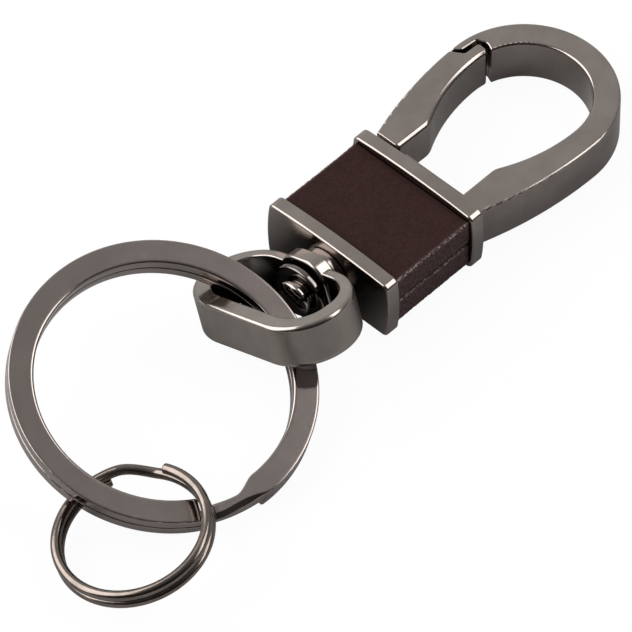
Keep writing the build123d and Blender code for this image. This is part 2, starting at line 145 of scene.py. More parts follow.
# a new material, its shader, and a Shade that its other nodes are made with
def startMaterial(name):
    material = bpy.data.materials.new(name)
    material.use_nodes = True
    tree = material.node_tree
    shader = tree.nodes["Principled BSDF"]
    return material, shader, Shade(tree, None)


# links each value to the shader's socket of that name
def feed(material, shader, sockets):
    for socket, value in sockets.items():
        material.node_tree.links.new(value.socket, shader.inputs[socket])


# places on a part, counted in spots of this many millimetres: metres * 1000 / size * stretch
def spread(use, size, stretch=(1, 1, 1)):
    place = use.node("ShaderNodeTexCoord", output="Object")
    scale = [1000 / size * part for part in stretch]
    return use.node("ShaderNodeVectorMath", {"operation": "MULTIPLY"}, place, scale)


# cloudy noise from 0 to 1, in spots of this many millimetres
def speckle(use, size, detail=2.0, stretch=(1, 1, 1), roughness=0.5):
    named = {"Scale": 1.0, "Detail": detail, "Roughness": roughness}
    return use.node("ShaderNodeTexNoise", None, spread(use, size, stretch), **named)


# from one tone to another, in a straight line while the value crosses the span
def fade(use, value, span, first=0.0, last=1.0):
    return use.node("ShaderNodeValToRGB", {"stops": ((span[0], first), (span[1], last))}, value)


# one colour * (1 - share) + the other * share
def mixColours(use, share, one, other):
    colours = {"A_Color": one, "B_Color": other}
    return use.node("ShaderNodeMix", {"data_type": "RGBA"}, output=2, Factor_Float=share, **colours)


# a mark from 0 to 1 that a mesh carries at its points
def marked(use, label):
    return use.node("ShaderNodeAttribute", {"attribute_name": label}, output="Fac")


# Metals: plated and polished, a little uneven in tone; patch and hairline are sizes in millimetres
metals = {
    "gunmetal": {
        "light": (0.330, 0.288, 0.264), "dark": (0.288, 0.251, 0.229), "rubbed": (0.39, 0.355, 0.33),
        "patch": 2.6, "hairline": 0.35, "polish": (0.16, 0.23), "grain": 0.022,
    },
    "linkCast": {
        "light": (0.325, 0.288, 0.262), "dark": (0.284, 0.251, 0.227), "rubbed": (0.39, 0.355, 0.33),
        "patch": 2.6, "hairline": 0.35, "polish": (0.17, 0.24), "grain": 0.03,
        "eye": (0.030, 0.027, 0.025),  # painted shade: near-black colour for the eye's inner wall
        "satin": 0.16,  # how much rougher the outer wall is
    },
    "ringSteel": {
        "light": (0.330, 0.283, 0.263), "dark": (0.296, 0.254, 0.236), "rubbed": (0.39, 0.35, 0.33),
        "patch": 3.4, "hairline": 0.25, "polish": (0.13, 0.19), "grain": 0.018,
    },
    "wireSteel": {
        "light": (0.220, 0.184, 0.162), "dark": (0.160, 0.134, 0.118), "rubbed": (0.30, 0.265, 0.24),
        "patch": 1.6, "hairline": 0.18, "polish": (0.15, 0.22), "grain": 0.05,
    },
    # a shaded copy of the plated steel: its darker colour is painted shade for the inner washer inside the
    # link's eye
    "paintedShadeSteel": {
        "light": (0.210, 0.186, 0.172), "dark": (0.150, 0.132, 0.122), "rubbed": (0.30, 0.275, 0.255),
        "patch": 1.2, "hairline": 0.15, "polish": (0.05, 0.09), "grain": 0.03,
    },
    "postSteel": {
        "light": (0.370, 0.330, 0.305), "dark": (0.310, 0.275, 0.252), "rubbed": (0.46, 0.42, 0.395),
        "patch": 1.2, "hairline": 0.15, "polish": (0.05, 0.09), "grain": 0.03,
    },
    "springSteel": {
        "light": (0.420, 0.390, 0.360), "dark": (0.330, 0.300, 0.280), "rubbed": (0.50, 0.47, 0.44),
        "patch": 0.8, "hairline": 0.1, "polish": (0.2, 0.32), "grain": 0.05,
    },
}
# what the metals share: where noise turns to tone, rub marks and hairlines, and how much each counts
plating = {
    "toneSpan": (0.35, 0.65),
    "wornSpan": (0.60, 0.74),
    "rubsPerPatch": 3,
    "wornColour": 0.30,
    "wornDull": 0.6,
    "lineSpan": (0.60, 0.72),
    "lineStretch": (1, 1, 0.06),  # hairlines run up and down
    "lineColour": 0.18,
    "lineHeight": 0.5,
    "cloudSize": 0.9,
    "cloudDull": 0.4,
    "bumpSize": 0.22,
    "bumpDepth": 0.00002,
}


# the colour goes from dark to light by patches, and towards rubbed by rub marks and hairlines;
# roughness = smooth + (dull - smooth) * (rub marks and clouds)
def metalMaterial(name):
    look, wear = metals[name], plating
    material, shader, use = startMaterial(name)
    patches = speckle(use, look["patch"], detail=3.0)
    tone = fade(use, patches, wear["toneSpan"], look["dark"], look["light"])
    rubs = speckle(use, look["patch"] / wear["rubsPerPatch"], detail=4.0, roughness=0.7)
    worn = fade(use, rubs, wear["wornSpan"])
    streaks = speckle(use, look["hairline"], stretch=wear["lineStretch"])
    lines = fade(use, streaks, wear["lineSpan"])
    marks = worn * wear["wornColour"] + lines * wear["lineColour"]
    colour = mixColours(use, marks, tone, (*look["rubbed"], 1))
    # painted shade: the colour goes towards the near-black eye colour where the link marks its eye wall
    if "eye" in look:
        colour = mixColours(use, marked(use, "inEye"), colour, (*look["eye"], 1))
    smooth, dull = look["polish"]
    clouds = speckle(use, wear["cloudSize"], detail=3.0)
    roughness = (worn * wear["wornDull"] + clouds * wear["cloudDull"]) * (dull - smooth) + smooth
    if "satin" in look:
        roughness = roughness + marked(use, "satinWall") * look["satin"]
    height = speckle(use, wear["bumpSize"], detail=3.0) + lines * wear["lineHeight"]
    bump = use.node("ShaderNodeBump", None, look["grain"], wear["bumpDepth"], Height=height)
    shader.inputs["Metallic"].default_value = 1.0
    feed(material, shader, {"Base Color": colour, "Roughness": roughness, "Normal": bump})
    return material


# Leather: dark brown and close-grained, paler and fibrous where it is cut; sizes in millimetres
hide = {
    "dark": (0.0215, 0.0085, 0.0075),
    "light": (0.0330, 0.0140, 0.0125),
    "cutDark": (0.062, 0.036, 0.035),
    "cutLight": (0.150, 0.098, 0.095),
    "fleck": (0.42, 0.36, 0.34),  # loose fibres along the cut side's upper edge
    "grainSize": 0.30,
    "poreSize": 0.32,
    "fibreSize": 0.16,
    "fibreStretch": (1, 1, 0.5),
    "fleckSize": 0.20,
    "skinSpan": (0.36, 0.66),
    "cutSpan": (0.38, 0.64),
    "fleckSpan": (0.50, 0.60),
    "poreSpan": (0.0, 0.25),
    "poreHeight": 0.4,
    "fibreHeight": 2.0,
    "dull": 0.6,
    "grainDull": 0.2,
    "cutDull": 0.15,
    "shine": 0.12,
    "bump": 0.45,
    "bumpDepth": 0.00006,
}


# skin * (1 - cutSide) + raw fibre * cutSide, in colour, roughness and height, with flecks along edgeLine
def leatherMaterial():
    material, shader, use = startMaterial("brownLeather")
    cutSide = marked(use, "cutSide")
    grain = speckle(use, hide["grainSize"], detail=3.0, roughness=0.65)
    fibres = speckle(use, hide["fibreSize"], detail=4.0, stretch=hide["fibreStretch"], roughness=0.7)
    flecks = speckle(use, hide["fleckSize"], roughness=0.6)
    pores = use.node("ShaderNodeTexVoronoi", None, spread(use, hide["poreSize"]), Scale=1.0)
    skin = fade(use, grain, hide["skinSpan"], hide["dark"], hide["light"])
    raw = fade(use, fibres, hide["cutSpan"], hide["cutDark"], hide["cutLight"])
    loose = fade(use, flecks, hide["fleckSpan"]) * marked(use, "edgeLine")
    colour = mixColours(use, loose, mixColours(use, cutSide, skin, raw), (*hide["fleck"], 1))
    roughness = grain * hide["grainDull"] + cutSide * hide["cutDull"] + hide["dull"]
    pits = fade(use, pores, hide["poreSpan"], 1.0, 0.0) * hide["poreHeight"]
    height = (grain - pits) * (1 - cutSide) + fibres * cutSide * hide["fibreHeight"]
    bump = use.node("ShaderNodeBump", None, hide["bump"], hide["bumpDepth"], Height=height)
    shader.inputs["Specular IOR Level"].default_value = hide["shine"]
    feed(material, shader, {"Base Color": colour, "Roughness": roughness, "Normal": bump})
    return material


finishes = {name: metalMaterial(name) for name in metals}
leather = leatherMaterial()
# nodes with a metal of their own; the rest are gunmetal
ownFinish = {
    "swivel_link": "linkCast",
    "large_split_ring": "ringSteel",
    "small_split_ring": "wireSteel",
    "gate_spring": "springSteel",
}
for name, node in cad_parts.items():
    node.data.materials.clear()
    if name.startswith("leather"):
        node.data.materials.append(leather)
    else:
        node.data.materials.append(finishes[ownFinish.get(name, "gunmetal")])
print("materials done")


# smooth noise: random heights on a lattice, eased between the four round each place
def softNoise(u, v, seed, lattice=97):
    heights = np.random.default_rng(seed).uniform(-1, 1, (lattice, lattice))
    i, j = np.floor(u).astype(int), np.floor(v).astype(int)
    s, t = ease(u - i, 0, 1), ease(v - j, 0, 1)
    left, right, near, far = i % lattice, (i + 1) % lattice, j % lattice, (j + 1) % lattice
    low = heights[left, near] * (1 - s) + heights[right, near] * s
    high = heights[left, far] * (1 - s) + heights[right, far] * s
    return low * (1 - t) + high * t


# 0 below the start, 1 past the end, and t * t * (3 - 2 * t) between
def ease(value, start, end):
    t = np.clip((value - start) / (end - start), 0, 1)
    return t * t * (3 - 2 * t)


# a closed outline with each corner rounded by its own arc, then spaced evenly; an arc's centre lies
# radius / sin(half the corner's angle) from the corner, and its ends radius / tan(half that angle)
def roundedOutline(corners, radii, step, arcPoints=9):
    points = []
    for k, corner in enumerate(corners):
        back, ahead = corners[k - 1] - corner, corners[(k + 1) % len(corners)] - corner
        back, ahead = back / np.hypot(*back), ahead / np.hypot(*ahead)
        half = np.arccos(np.clip(back @ ahead, -1, 1)) / 2
        centre = corner + (back + ahead) / np.hypot(*(back + ahead)) * radii[k] / np.sin(half)
        first, last = corner + back * radii[k] / np.tan(half), corner + ahead * radii[k] / np.tan(half)
        start, end = (atan2(*(place - centre)[::-1]) for place in (first, last))
        sweep = (end - start + pi) % (2 * pi) - pi
        turn = start + sweep * np.linspace(0, 1, arcPoints)
        points.append(centre + radii[k] * np.column_stack([np.cos(turn), np.sin(turn)]))
    points = np.vstack(points + [points[0][:1]])
    run = np.concatenate([[0], np.cumsum(np.hypot(*np.diff(points, axis=0).T))])
    even = np.linspace(0, run[-1], int(run[-1] / step), endpoint=False)
    return np.column_stack([np.interp(even, run, points[:, axis]) for axis in (0, 1)]), even


# rings of points joined by quads; the ends are joined, or closed by one face each. The sum of each quad's
# area times its place says which way the quads face, and the rings are reversed if that is inwards
def meshFromRings(name, rings, marks=(), endless=False):
    count, around = rings.shape[:2]
    beside, ahead = np.roll(rings, -1, axis=1), np.roll(rings, -1, axis=0)
    across = np.roll(beside, -1, axis=0)
    middles = (rings + beside + ahead + across) / 4 - rings.mean(axis=(0, 1))
    swept = (np.cross(across - rings, ahead - beside) * middles)[: None if endless else -1].sum()
    if swept < 0:
        rings, marks = rings[:, ::-1], [(label, values[:, ::-1]) for label, values in marks]
    spots = np.arange(count * around).reshape(count, around)
    beside = np.roll(spots, -1, axis=1)
    quads = np.stack([spots, beside, np.roll(beside, -1, axis=0), np.roll(spots, -1, axis=0)], axis=-1)
    if endless:
        faces = quads.reshape(-1, 4).tolist()
    else:
        faces = quads[:-1].reshape(-1, 4).tolist() + [spots[0, ::-1].tolist(), spots[-1].tolist()]
    mesh = bpy.data.meshes.new(name)
    mesh.from_pydata(rings.reshape(-1, 3).tolist(), [], faces)
    for label, values in marks:
        values = values.ravel().astype(np.float32)
        mesh.attributes.new(label, "FLOAT", "POINT").data.foreach_set("value", values)
    mesh.shade_smooth()
    piece = bpy.data.objects.new(name, mesh)
    scene.collection.objects.link(piece)
    return piece


# rows along a length, closer together at its rounded ends, and how far each row is drawn in there:
# start + drawn * (1 - cos) with 1 - sin of a quarter turn, and the same from the far end
def roundedRows(start, end, count, drawn, quarterRows=8):
    quarter = np.linspace(0, pi / 2, quarterRows)
    lead, tuck = drawn * (1 - np.cos(quarter)), 1 - np.sin(quarter)
    straight = np.linspace(start + drawn, end - drawn, count)[1:-1]
    rows = np.concatenate([start + lead, straight, (end - lead)[::-1]])
    return rows, np.concatenate([tuck, np.zeros(len(straight)), tuck[::-1]])


# Leather pads, in metres: a rounded section with a channel for the tang, carried from bar to bar
pads = {
    "step": 0.000085,
    "outerRound": 0.00042,
    "seamRound": 0.00030,
    "channelRound": 0.0001,
    "endRound": 0.00010,
    "endRows": 9,
    "reach": 0.00012,  # beyond the plain block, towards each bar
    "channelHalf": 0.00315,
    "channelDeep": 0.00165,
    "sag": 0.00004,  # waves in the skin
    "sink": 1.3,  # waves that the skin lies below the plain block
    "fray": 0.000025,  # on the cut sides
    "cutInset": 0.00045,  # the cut side starts that far inside the edge
    "cutBlend": 0.0003,
    "skinFrom": 0.002,  # skin further than that from the middle plane waves
    "edgeInset": (0.00012, 0.00016),  # the line of loose fibres, in from the upper corner
    "edgeBlend": 0.00013,
    "edgeFull": 1.6,
}
# each has its size across and along in millimetres, its seed, and its strength
padNoise = {
    "wave": (2.3, 2.9, 11, 1.0),
    "ripple": (0.5, 0.6, 12, 0.3),
    "fibre": (0.16, 0.13, 13, 1.0),
    "tuft": (0.4, 0.09, 14, 0.7),
    "blotch": (0.3, 0.2, 15, 0.5),
}


# place = section + normal * (waves where the skin is free + fray on the cut sides - what it is drawn in by)
def makePad(name, node, outward):
    (lowX, lowY, lowZ), (highX, highY, highZ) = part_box(node)
    lowX, highX = lowX - pads["reach"], highX + pads["reach"]
    inner, outer = (lowZ, highZ) if outward > 0 else (highZ, lowZ)
    middle = (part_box("leather_front")[0][2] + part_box("leather_back")[1][2]) / 2
    deep, half = middle + outward * pads["channelDeep"], pads["channelHalf"]
    corners = np.array([
        (half, deep), (half, inner), (highY, inner), (highY, outer),
        (lowY, outer), (lowY, inner), (-half, inner), (-half, deep),
    ])
    radii = [pads[part] for part in ("channelRound", "channelRound", "seamRound", "outerRound")]
    section, run = roundedOutline(corners, radii + radii[::-1], pads["step"])
    ahead = np.roll(section, -1, axis=0) - np.roll(section, 1, axis=0)
    normal = np.column_stack([ahead[:, 1], -ahead[:, 0]]) / np.hypot(*ahead.T)[:, None]
    y, z = section.T
    normal *= np.sign((y * np.roll(z, -1) - np.roll(y, -1) * z).sum())
    count = int((highX - lowX) / pads["step"])
    along, tuck = roundedRows(lowX, highX, count, pads["endRound"], pads["endRows"])
    u, x = np.meshgrid(run * 1000, along * 1000)

    def noise(kind):
        across, length, seed, strength = padNoise[kind]
        return strength * softNoise(u / across, x / length, seed)

    side = np.clip((abs(y) - highY + pads["cutInset"]) / pads["cutBlend"], 0, 1)[None, :]
    free = np.clip(side + (outward * (z - middle) > pads["skinFrom"])[None, :], 0, 1)
    waves = pads["sag"] * (noise("wave") + noise("ripple") - pads["sink"])
    frayed = pads["fray"] * (noise("fibre") + noise("tuft"))
    push = waves * free + frayed * side - (pads["endRound"] * tuck)[:, None]
    rings = np.empty((len(along), len(run), 3))
    rings[:, :, 0] = along[:, None]
    rings[:, :, 1:] = section[None] + normal[None] * push[:, :, None]
    upper = outer if outward > 0 else inner
    insetY, insetZ = pads["edgeInset"]
    away = np.hypot(abs(y) - highY + insetY, z - upper + insetZ)
    line = np.clip(pads["edgeFull"] - away / pads["edgeBlend"], 0, 1)[None, :] * np.ones((len(along), 1))
    cutMark = side * np.clip(1 - abs(noise("blotch")), 0, 1)
    pad = meshFromRings(name, rings, (("cutSide", cutMark), ("edgeLine", line)))
    pad.data.materials.append(leather)
    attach(pad, "fob_body")
    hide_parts(node)


makePad("padFront", "leather_front", 1)
makePad("padBack", "leather_back", -1)
print("leather done")


# each corner of a section eased by a parabola, with a point on the flat at either side of it;
# corners are (row, corner, 2), and back and ahead say how far each curve reaches along its sides
def easedCorners(corners, back, ahead, count=7, flat=0.3):
    before, after = np.roll(corners, 1, axis=1) - corners, np.roll(corners, -1, axis=1) - corners
    before /= np.linalg.norm(before, axis=2, keepdims=True)
    after /= np.linalg.norm(after, axis=2, keepdims=True)
    back, ahead = back[..., None], ahead[..., None]
    first, last = corners + before * back, corners + after * ahead
    t = np.linspace(0, 1, count)[:, None]
    parts = (first, (1 - t) ** 2), (corners, 2 * t * (1 - t)), (last, t ** 2)
    curve = sum(share * places[:, :, None] for places, share in parts)
    lead = (first + before * back * flat)[:, :, None]
    trail = (last + after * ahead * flat)[:, :, None]
    return np.concatenate([lead, curve, trail], axis=2).reshape(len(corners), -1, 2)


# a section of (radius, height) points carried round a ring's own plane:
# centre + radius * (cos turn * x + sin turn * y) + (height + lift) * normal
def carryRound(ring, angles, section, lift):
    normal = Vector(ring["normal"]).normalized()
    across = (Vector((1, 0, 0)) - normal * normal.x).normalized()
    x, y, z = (np.array(part) for part in (across, normal.cross(across), normal))
    turn = np.radians(angles)[:, None]
    radius, height = section[..., 0], section[..., 1] + lift[:, None]
    out = np.cos(turn)[..., None] * x + np.sin(turn)[..., None] * y
    return (np.array(ring["centre"]) + radius[..., None] * out + height[..., None] * z) / 1000


# rows along a ring's wire between its free ends, and the lift: half the rise below its middle before the
# joggle, and half the rise above it after
def ringRows(ring):
    start, end = ring["free"]
    angles, tuck = roundedRows(start, end, int((end - start) / ring["step"]), ring["endRound"])
    return angles, tuck, ring["rise"] * (ease(angles, *ring["joggle"]) - 0.5)


# Large split ring, in millimetres and degrees: flat wire, slimmer and bevelled past the joggle
flatRing = {
    "centre": (-21.81, 1.85, 3.26),
    "normal": (-0.063, -0.285, 1.0),
    "inner": 12.5,
    "outer": 15.0,
    "thick": 1.22,
    "rise": 1.28,  # from the lower turn to the upper
    "free": (-94.5, 600.0),
    "joggle": (239.0, 246.5),
    "slim": 0.95,  # off the inner side
    "slimAngles": (237.0, 242.0, 256.0, 268.0),
    "bevel": (0.42, 0.24),  # width and depth beyond the plain rim
    "bevelAngles": (238.0, 244.0, 258.0, 269.0),
    "bevelEase": 0.035,
    "lean": 0.26,  # off the outer side
    "leanAngles": (246.0, 257.0, 262.0, 270.0),
    "rim": (0.11, 0.15),  # its width, and half of what a corner is eased by
    "slopeEase": 0.4,  # of the rim's slope
    "endRound": 1.2,
    "endDraw": (0.16, 0.33),  # how far the ends draw in, across and through the wire
    "step": 0.8,
}


# five corners a row: inner and outer side below, the rim's lower and upper edge, and the inner side above;
# a stretch of four angles grows between the first two and fades between the last two
def makeFlatRing():
    ring = flatRing
    angles, tuck, lift = ringRows(ring)

    def stretch(places):
        a, b, c, d = places
        return ease(angles, a, b) * (1 - ease(angles, c, d))

    bevelled = stretch(ring["bevelAngles"])
    half = np.full(len(angles), ring["thick"] / 2)
    inner = ring["inner"] + ring["slim"] * stretch(ring["slimAngles"])
    outer = ring["outer"] - ring["lean"] * stretch(ring["leanAngles"])
    plain = np.full(len(angles), ring["outer"])
    edge, reach = ring["rim"]
    width, depth = (edge + more * bevelled for more in ring["bevel"])
    corners = np.stack([
        np.column_stack([inner, -half]),
        np.column_stack([plain, -half]),
        np.column_stack([outer, half - depth]),
        np.column_stack([outer - width, half]),
        np.column_stack([inner, half]),
    ], axis=1)
    sharp = ring["bevelEase"] * bevelled
    crisp = reach * (1 - bevelled) + sharp
    slope = ring["slopeEase"] * np.hypot(width, depth) * (1 - bevelled) + sharp
    soft = np.full(len(angles), 2 * reach)
    back = np.column_stack([soft, soft, crisp, slope, soft])
    ahead = np.column_stack([soft, soft, slope, crisp, soft])
    section = easedCorners(corners, back, ahead)
    middle = section.mean(axis=1, keepdims=True)
    section = middle + (section - middle) * (1 - tuck[:, None, None] * ring["endDraw"])
    wire = meshFromRings("flatSplitRing", carryRound(ring, angles, section, lift))
    wire.data.materials.append(finishes["ringSteel"])
    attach(wire, "large_ring")
    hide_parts("large_split_ring")


makeFlatRing()

# Small split ring, the same in round wire
roundRing = {
    "centre": (-35.05, -7.04, 0.36),
    "normal": (-0.215, 0.153, 1.0),
    "radius": 7.42,
    "wire": 0.527,  # its radius
    "around": 32,
    "rise": 1.12,
    "free": (60.5, 737.5),
    "joggle": (383.5, 414.5),
    "endRound": 1.6,
    "endDraw": 0.38,
    "step": 1.0,
}


# the section is a circle: radius + size * cos turn, and size * sin turn
def makeRoundRing():
    ring = roundRing
    angles, tuck, lift = ringRows(ring)
    turn = np.linspace(0, 2 * pi, ring["around"], endpoint=False)
    size = ring["wire"] * (1 - ring["endDraw"] * tuck)[:, None]
    section = np.stack([ring["radius"] + size * np.cos(turn), size * np.sin(turn)], axis=-1)
    wire = meshFromRings("roundSplitRing", carryRound(ring, angles, section, lift))
    wire.data.materials.append(finishes["wireSteel"])
    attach(wire, "small_ring")
    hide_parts("small_split_ring")


makeRoundRing()
print("rings done")

# Gate spring, in millimetres: a coil round the pin, one leg on the hook's bar and one in the gate
gateSpring = {
    "wire": 0.14,  # its radius
    "around": 16,
    "radius": 0.95,
    "turns": 3,
    "step": 9,  # degrees
    "legStep": 0.3,
    "bend": (0.1, 0.9),  # beyond the pin's middle, where the wire passes from the hook to the gate
}


# points on the wire: pin's middle + radius * (sin turn, -cos turn), rising with the turn, and a straight
# leg at each end. Its section is a circle: point + wire * (cos a * sideways + sin a * up)
def makeGateSpring():
    spring = gateSpring
    low, high = (np.array(corner) * 1000 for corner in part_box("gate_spring"))
    pinLow, pinHigh = (np.array(corner) * 1000 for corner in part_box("gate_pin"))
    middle = (pinLow + pinHigh)[:2] / 2
    bottom, top = low[2] + spring["wire"], high[2] - spring["wire"]

    def leg(start, end, height):
        places = np.linspace(start, end, int((end - start) / spring["legStep"]) + 2)
        side = np.full_like(places, middle[1] - spring["radius"])
        return np.column_stack([places, side, np.full_like(places, height)])

    turn = np.radians(np.arange(0, 360 * spring["turns"] + 1, spring["step"]))
    x, y = middle[0] + spring["radius"] * np.sin(turn), middle[1] - spring["radius"] * np.cos(turn)
    coil = np.column_stack([x, y, bottom + (top - bottom) * turn / turn[-1]])
    path = np.concatenate([leg(low[0], middle[0], bottom)[:-1], coil, leg(middle[0], high[0], top)[1:]])
    along = np.gradient(path, axis=0)
    sideways = np.stack([along[:, 1], -along[:, 0], np.zeros(len(path))], axis=-1)
    sideways /= np.linalg.norm(sideways, axis=1, keepdims=True)
    up = np.cross(sideways, along)
    up /= np.linalg.norm(up, axis=1, keepdims=True)
    around = np.linspace(0, 2 * pi, spring["around"], endpoint=False)[:, None]
    section = np.cos(around) * sideways[:, None] + np.sin(around) * up[:, None]
    wire = meshFromRings("gateCoil", (path[:, None] + spring["wire"] * section) / 1000)
    wire.data.materials.append(finishes["springSteel"])
    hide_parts("gate_spring")
    start, end = ((middle[0] + reach, middle[1], top) for reach in spring["bend"])
    [part / 1000 for part in start]
    [part / 1000 for part in end]
    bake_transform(wire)


makeGateSpring()
print("gate spring done")

# Turned pieces about the swivel axis, in millimetres: each corner is (x, radius, how far it is eased)
swivelAxis = {"height": 3.65, "around": 180}
turnedPieces = {
    "turnedPost": {
        "node": "swivel_post", "finish": "postSteel", "slot": "plated_steel", "endless": False,
        "profile": [
            (5.80, 0.02, 0.0), (5.80, 1.10, 0.12), (-4.86, 1.10, 0.01), (-4.86, 1.50, 0.05),
            (-5.26, 1.50, 0.02), (-5.26, 1.92, 0.12), (-5.72, 1.92, 0.16), (-6.06, 1.20, 0.45),
            (-6.06, 0.02, 0.0),
        ],
    },
    # the inner washer wears the darker steel as painted shade inside the eye
    "turnedInnerWasher": {
        "node": "inner_washer", "finish": "paintedShadeSteel", "slot": "plated_steel", "endless": True,
        "profile": [(-4.83, 1.12, 0.02), (-4.83, 3.20, 0.20), (-4.18, 3.20, 0.20), (-4.18, 1.12, 0.02)],
    },
    "turnedOuterWasher": {
        "node": "outer_washer", "finish": "gunmetal", "slot": "plated_steel", "endless": True,
        "profile": [(-1.88, 1.12, 0.02), (-1.88, 2.85, 0.20), (-0.83, 2.85, 0.20), (-0.83, 1.12, 0.02)],
    },
}


# the eased profile turned about the axis: (x, radius * cos turn, radius * sin turn + height)
def turnPiece(name, look):
    corners = np.array(look["profile"])
    places, reach = corners[:, :2][None], corners[:, 2][None]
    line = easedCorners(places, reach, reach)[0].reshape(len(corners), -1, 2)
    if not look["endless"]:
        line = np.concatenate([places[0, :1], *line[1:-1], places[0, -1:]])
    line = line.reshape(-1, 2)
    turn = np.linspace(0, 2 * pi, swivelAxis["around"], endpoint=False)
    rings = np.empty((len(line), len(turn), 3))
    rings[..., 0] = line[:, :1]
    rings[..., 1] = line[:, 1:] * np.cos(turn)
    rings[..., 2] = line[:, 1:] * np.sin(turn) + swivelAxis["height"]
    piece = meshFromRings(name, rings / 1000, endless=look["endless"])
    piece.data.materials.append(finishes[look["finish"]])
    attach(piece, "fob_body")
    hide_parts(look["node"])


for name, look in turnedPieces.items():
    turnPiece(name, look)
print("turned pieces done")

# Swivel link, in millimetres in its own plane: a wide loop, and the boss that turns on the post
linkPlane = {
    "origin": (-0.0075, -0.0812, 3.4511),
    "turn": 22.2,  # degrees about the swivel axis
    "rock": 4.0,  # degrees, foot lifted, within the post's play
}
# an oblong is its foot, its top, its half width, and the radius of its corners at the foot and at the top
linkLoop = {
    "outside": (-12.84, -2.28, 9.12, 5.05, 5.45),
    "eye": (-10.98, -3.58, 7.26, 3.20, 3.40),
    "half": 2.3,  # of its thickness
    "rim": 0.46,
    "eyeRim": 0.20,
    "rimRows": 10,
    "flat": 0.05,  # from a rounding to the next row
    "paintedShadeBelow": 2.25,  # the painted shade on the eye's wall deepens from there down
    "paintedShadeBlend": 0.6,
    "wallInset": 0.03,  # rows within that of the eye's own outline are its wall
}
linkBoss = {"outline": (-3.45, 3.45, 3.10, 2.40, 2.40), "from": -2.28, "to": -3.88, "rim": 0.28}


# rounded oblongs of one count of points, one for each inset, with four even arcs and four even straights
def oblongs(size, inset, count=28):
    low, high, half, lowRound, highRound = (value * np.ones_like(inset) for value in size)
    low, high, half = low + inset, high - inset, half - inset
    lowRound, highRound = lowRound - inset, highRound - inset
    sides = (high, half, highRound), (low, half, lowRound), (low, -half, lowRound), (high, -half, highRound)
    arcs = []
    for quarter, (end, side, bend) in enumerate(sides):
        turn = (quarter + np.linspace(0, 1, count)) * pi / 2
        middleX = end - np.sign(end - (low + high) / 2) * bend
        middleY = side - np.sign(side) * bend
        x = middleX[:, None] + bend[:, None] * np.cos(turn)
        y = middleY[:, None] + bend[:, None] * np.sin(turn)
        arcs.append(np.stack([x, y], axis=-1))
    t = np.linspace(0, 1, count)[1:-1, None]
    parts = []
    for k, arc in enumerate(arcs):
        onward = arcs[(k + 1) % 4][:, :1]
        parts += [arc, arc[:, -1:] * (1 - t) + onward * t]
    return np.concatenate(parts, axis=1)


# place = origin + along * x + across * y + up * z, from millimetres to metres; along is the swivel axis
# turned and rocked, across has no part along that axis, and up is square to both
def inLinkPlane(x, y, z):
    turn, rock = radians(linkPlane["turn"]), radians(linkPlane["rock"])
    along = np.array((cos(rock), -sin(rock) * sin(turn), -sin(rock) * cos(turn)))
    across = np.array((0, cos(turn), -sin(turn)))
    ways = along, across, np.cross(along, across)
    step = sum(part[..., None] * way for part, way in zip((x, y, z), ways))
    return (np.array(linkPlane["origin"]) + step) / 1000


# rings to a piece of the link, cast and plated
def linkPiece(name, rings, marks, endless):
    piece = meshFromRings(name, rings, marks, endless)
    piece.data.materials.append(finishes["linkCast"])
    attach(piece, "link")
    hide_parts("swivel_link")


# one oblong for each row of the section: its inset goes as rim * (1 - cos) while its height goes as
# half - rim * (1 - sin); the section runs from the outside wall over the top to the eye wall
def makeLinkLoop():
    half, rim, eyeRim, flat = (linkLoop[part] for part in ("half", "rim", "eyeRim", "flat"))
    quarter = np.linspace(0, pi / 2, linkLoop["rimRows"])
    rise, fall = 1 - np.cos(quarter), 1 - np.sin(quarter)
    outInset = np.concatenate([[0, 0], rim * rise, [rim + flat]])
    outHeight = np.concatenate([[0, half - rim - flat], half - rim * fall, [half]])
    eyeInset = -np.concatenate([[eyeRim + flat], eyeRim * fall, [0, 0]])
    eyeHeight = np.concatenate([[half], half - eyeRim * rise, [half - eyeRim - flat, 0]])
    rows = np.concatenate([oblongs(linkLoop["outside"], outInset), oblongs(linkLoop["eye"], eyeInset)])
    height = np.concatenate([outHeight, eyeHeight])
    isEye = np.concatenate([np.zeros(len(outHeight)), (eyeInset > -linkLoop["wallInset"]) * 1.0])
    # painted shade on the eye's wall: 0 at the start height, 1 a blend lower; the lower half's eye rows are
    # fully shaded
    dark = isEye * np.clip((linkLoop["paintedShadeBelow"] - height) / linkLoop["paintedShadeBlend"], 0, 1)
    satin = (np.arange(len(height)) < 2) * 1.0  # the outside wall's two rows

    def bothHalves(upper, lower):
        return np.concatenate([upper, lower[-2:0:-1]])

    rows = bothHalves(rows, rows)

    def overRows(values):
        return np.broadcast_to(values[:, None], rows.shape[:2])

    # the first mark is painted shade on the eye's wall; the second makes the outside wall rougher
    marks = (
        ("inEye", overRows(bothHalves(dark, isEye))),
        ("satinWall", overRows(bothHalves(satin, satin))),
    )
    lift = overRows(bothHalves(height, -height))
    linkPiece("linkLoop", inLinkPlane(rows[..., 0], rows[..., 1], lift), marks, True)


# the boss is the same along the swivel axis: straight from the loop, then rounded into its end face
def makeLinkBoss():
    start, end, rim, flat = linkBoss["from"], linkBoss["to"], linkBoss["rim"], linkLoop["flat"]
    quarter = np.linspace(0, pi / 2, linkLoop["rimRows"])
    rise, fall = 1 - np.cos(quarter), 1 - np.sin(quarter)
    inset = np.concatenate([[2 * flat, flat, 0, 0, 0], rim * rise, [rim + flat]])
    straight = [start, start, start - flat, start - 2 * flat, end + rim + flat]
    along = np.concatenate([straight, end + rim * fall, [end]])
    rows = oblongs(linkBoss["outline"], inset)
    place = np.broadcast_to(along[:, None], rows.shape[:2])
    linkPiece("linkBoss", inLinkPlane(place, rows[..., 1], rows[..., 0]), (), False)


makeLinkLoop()
makeLinkBoss()
print("link done")

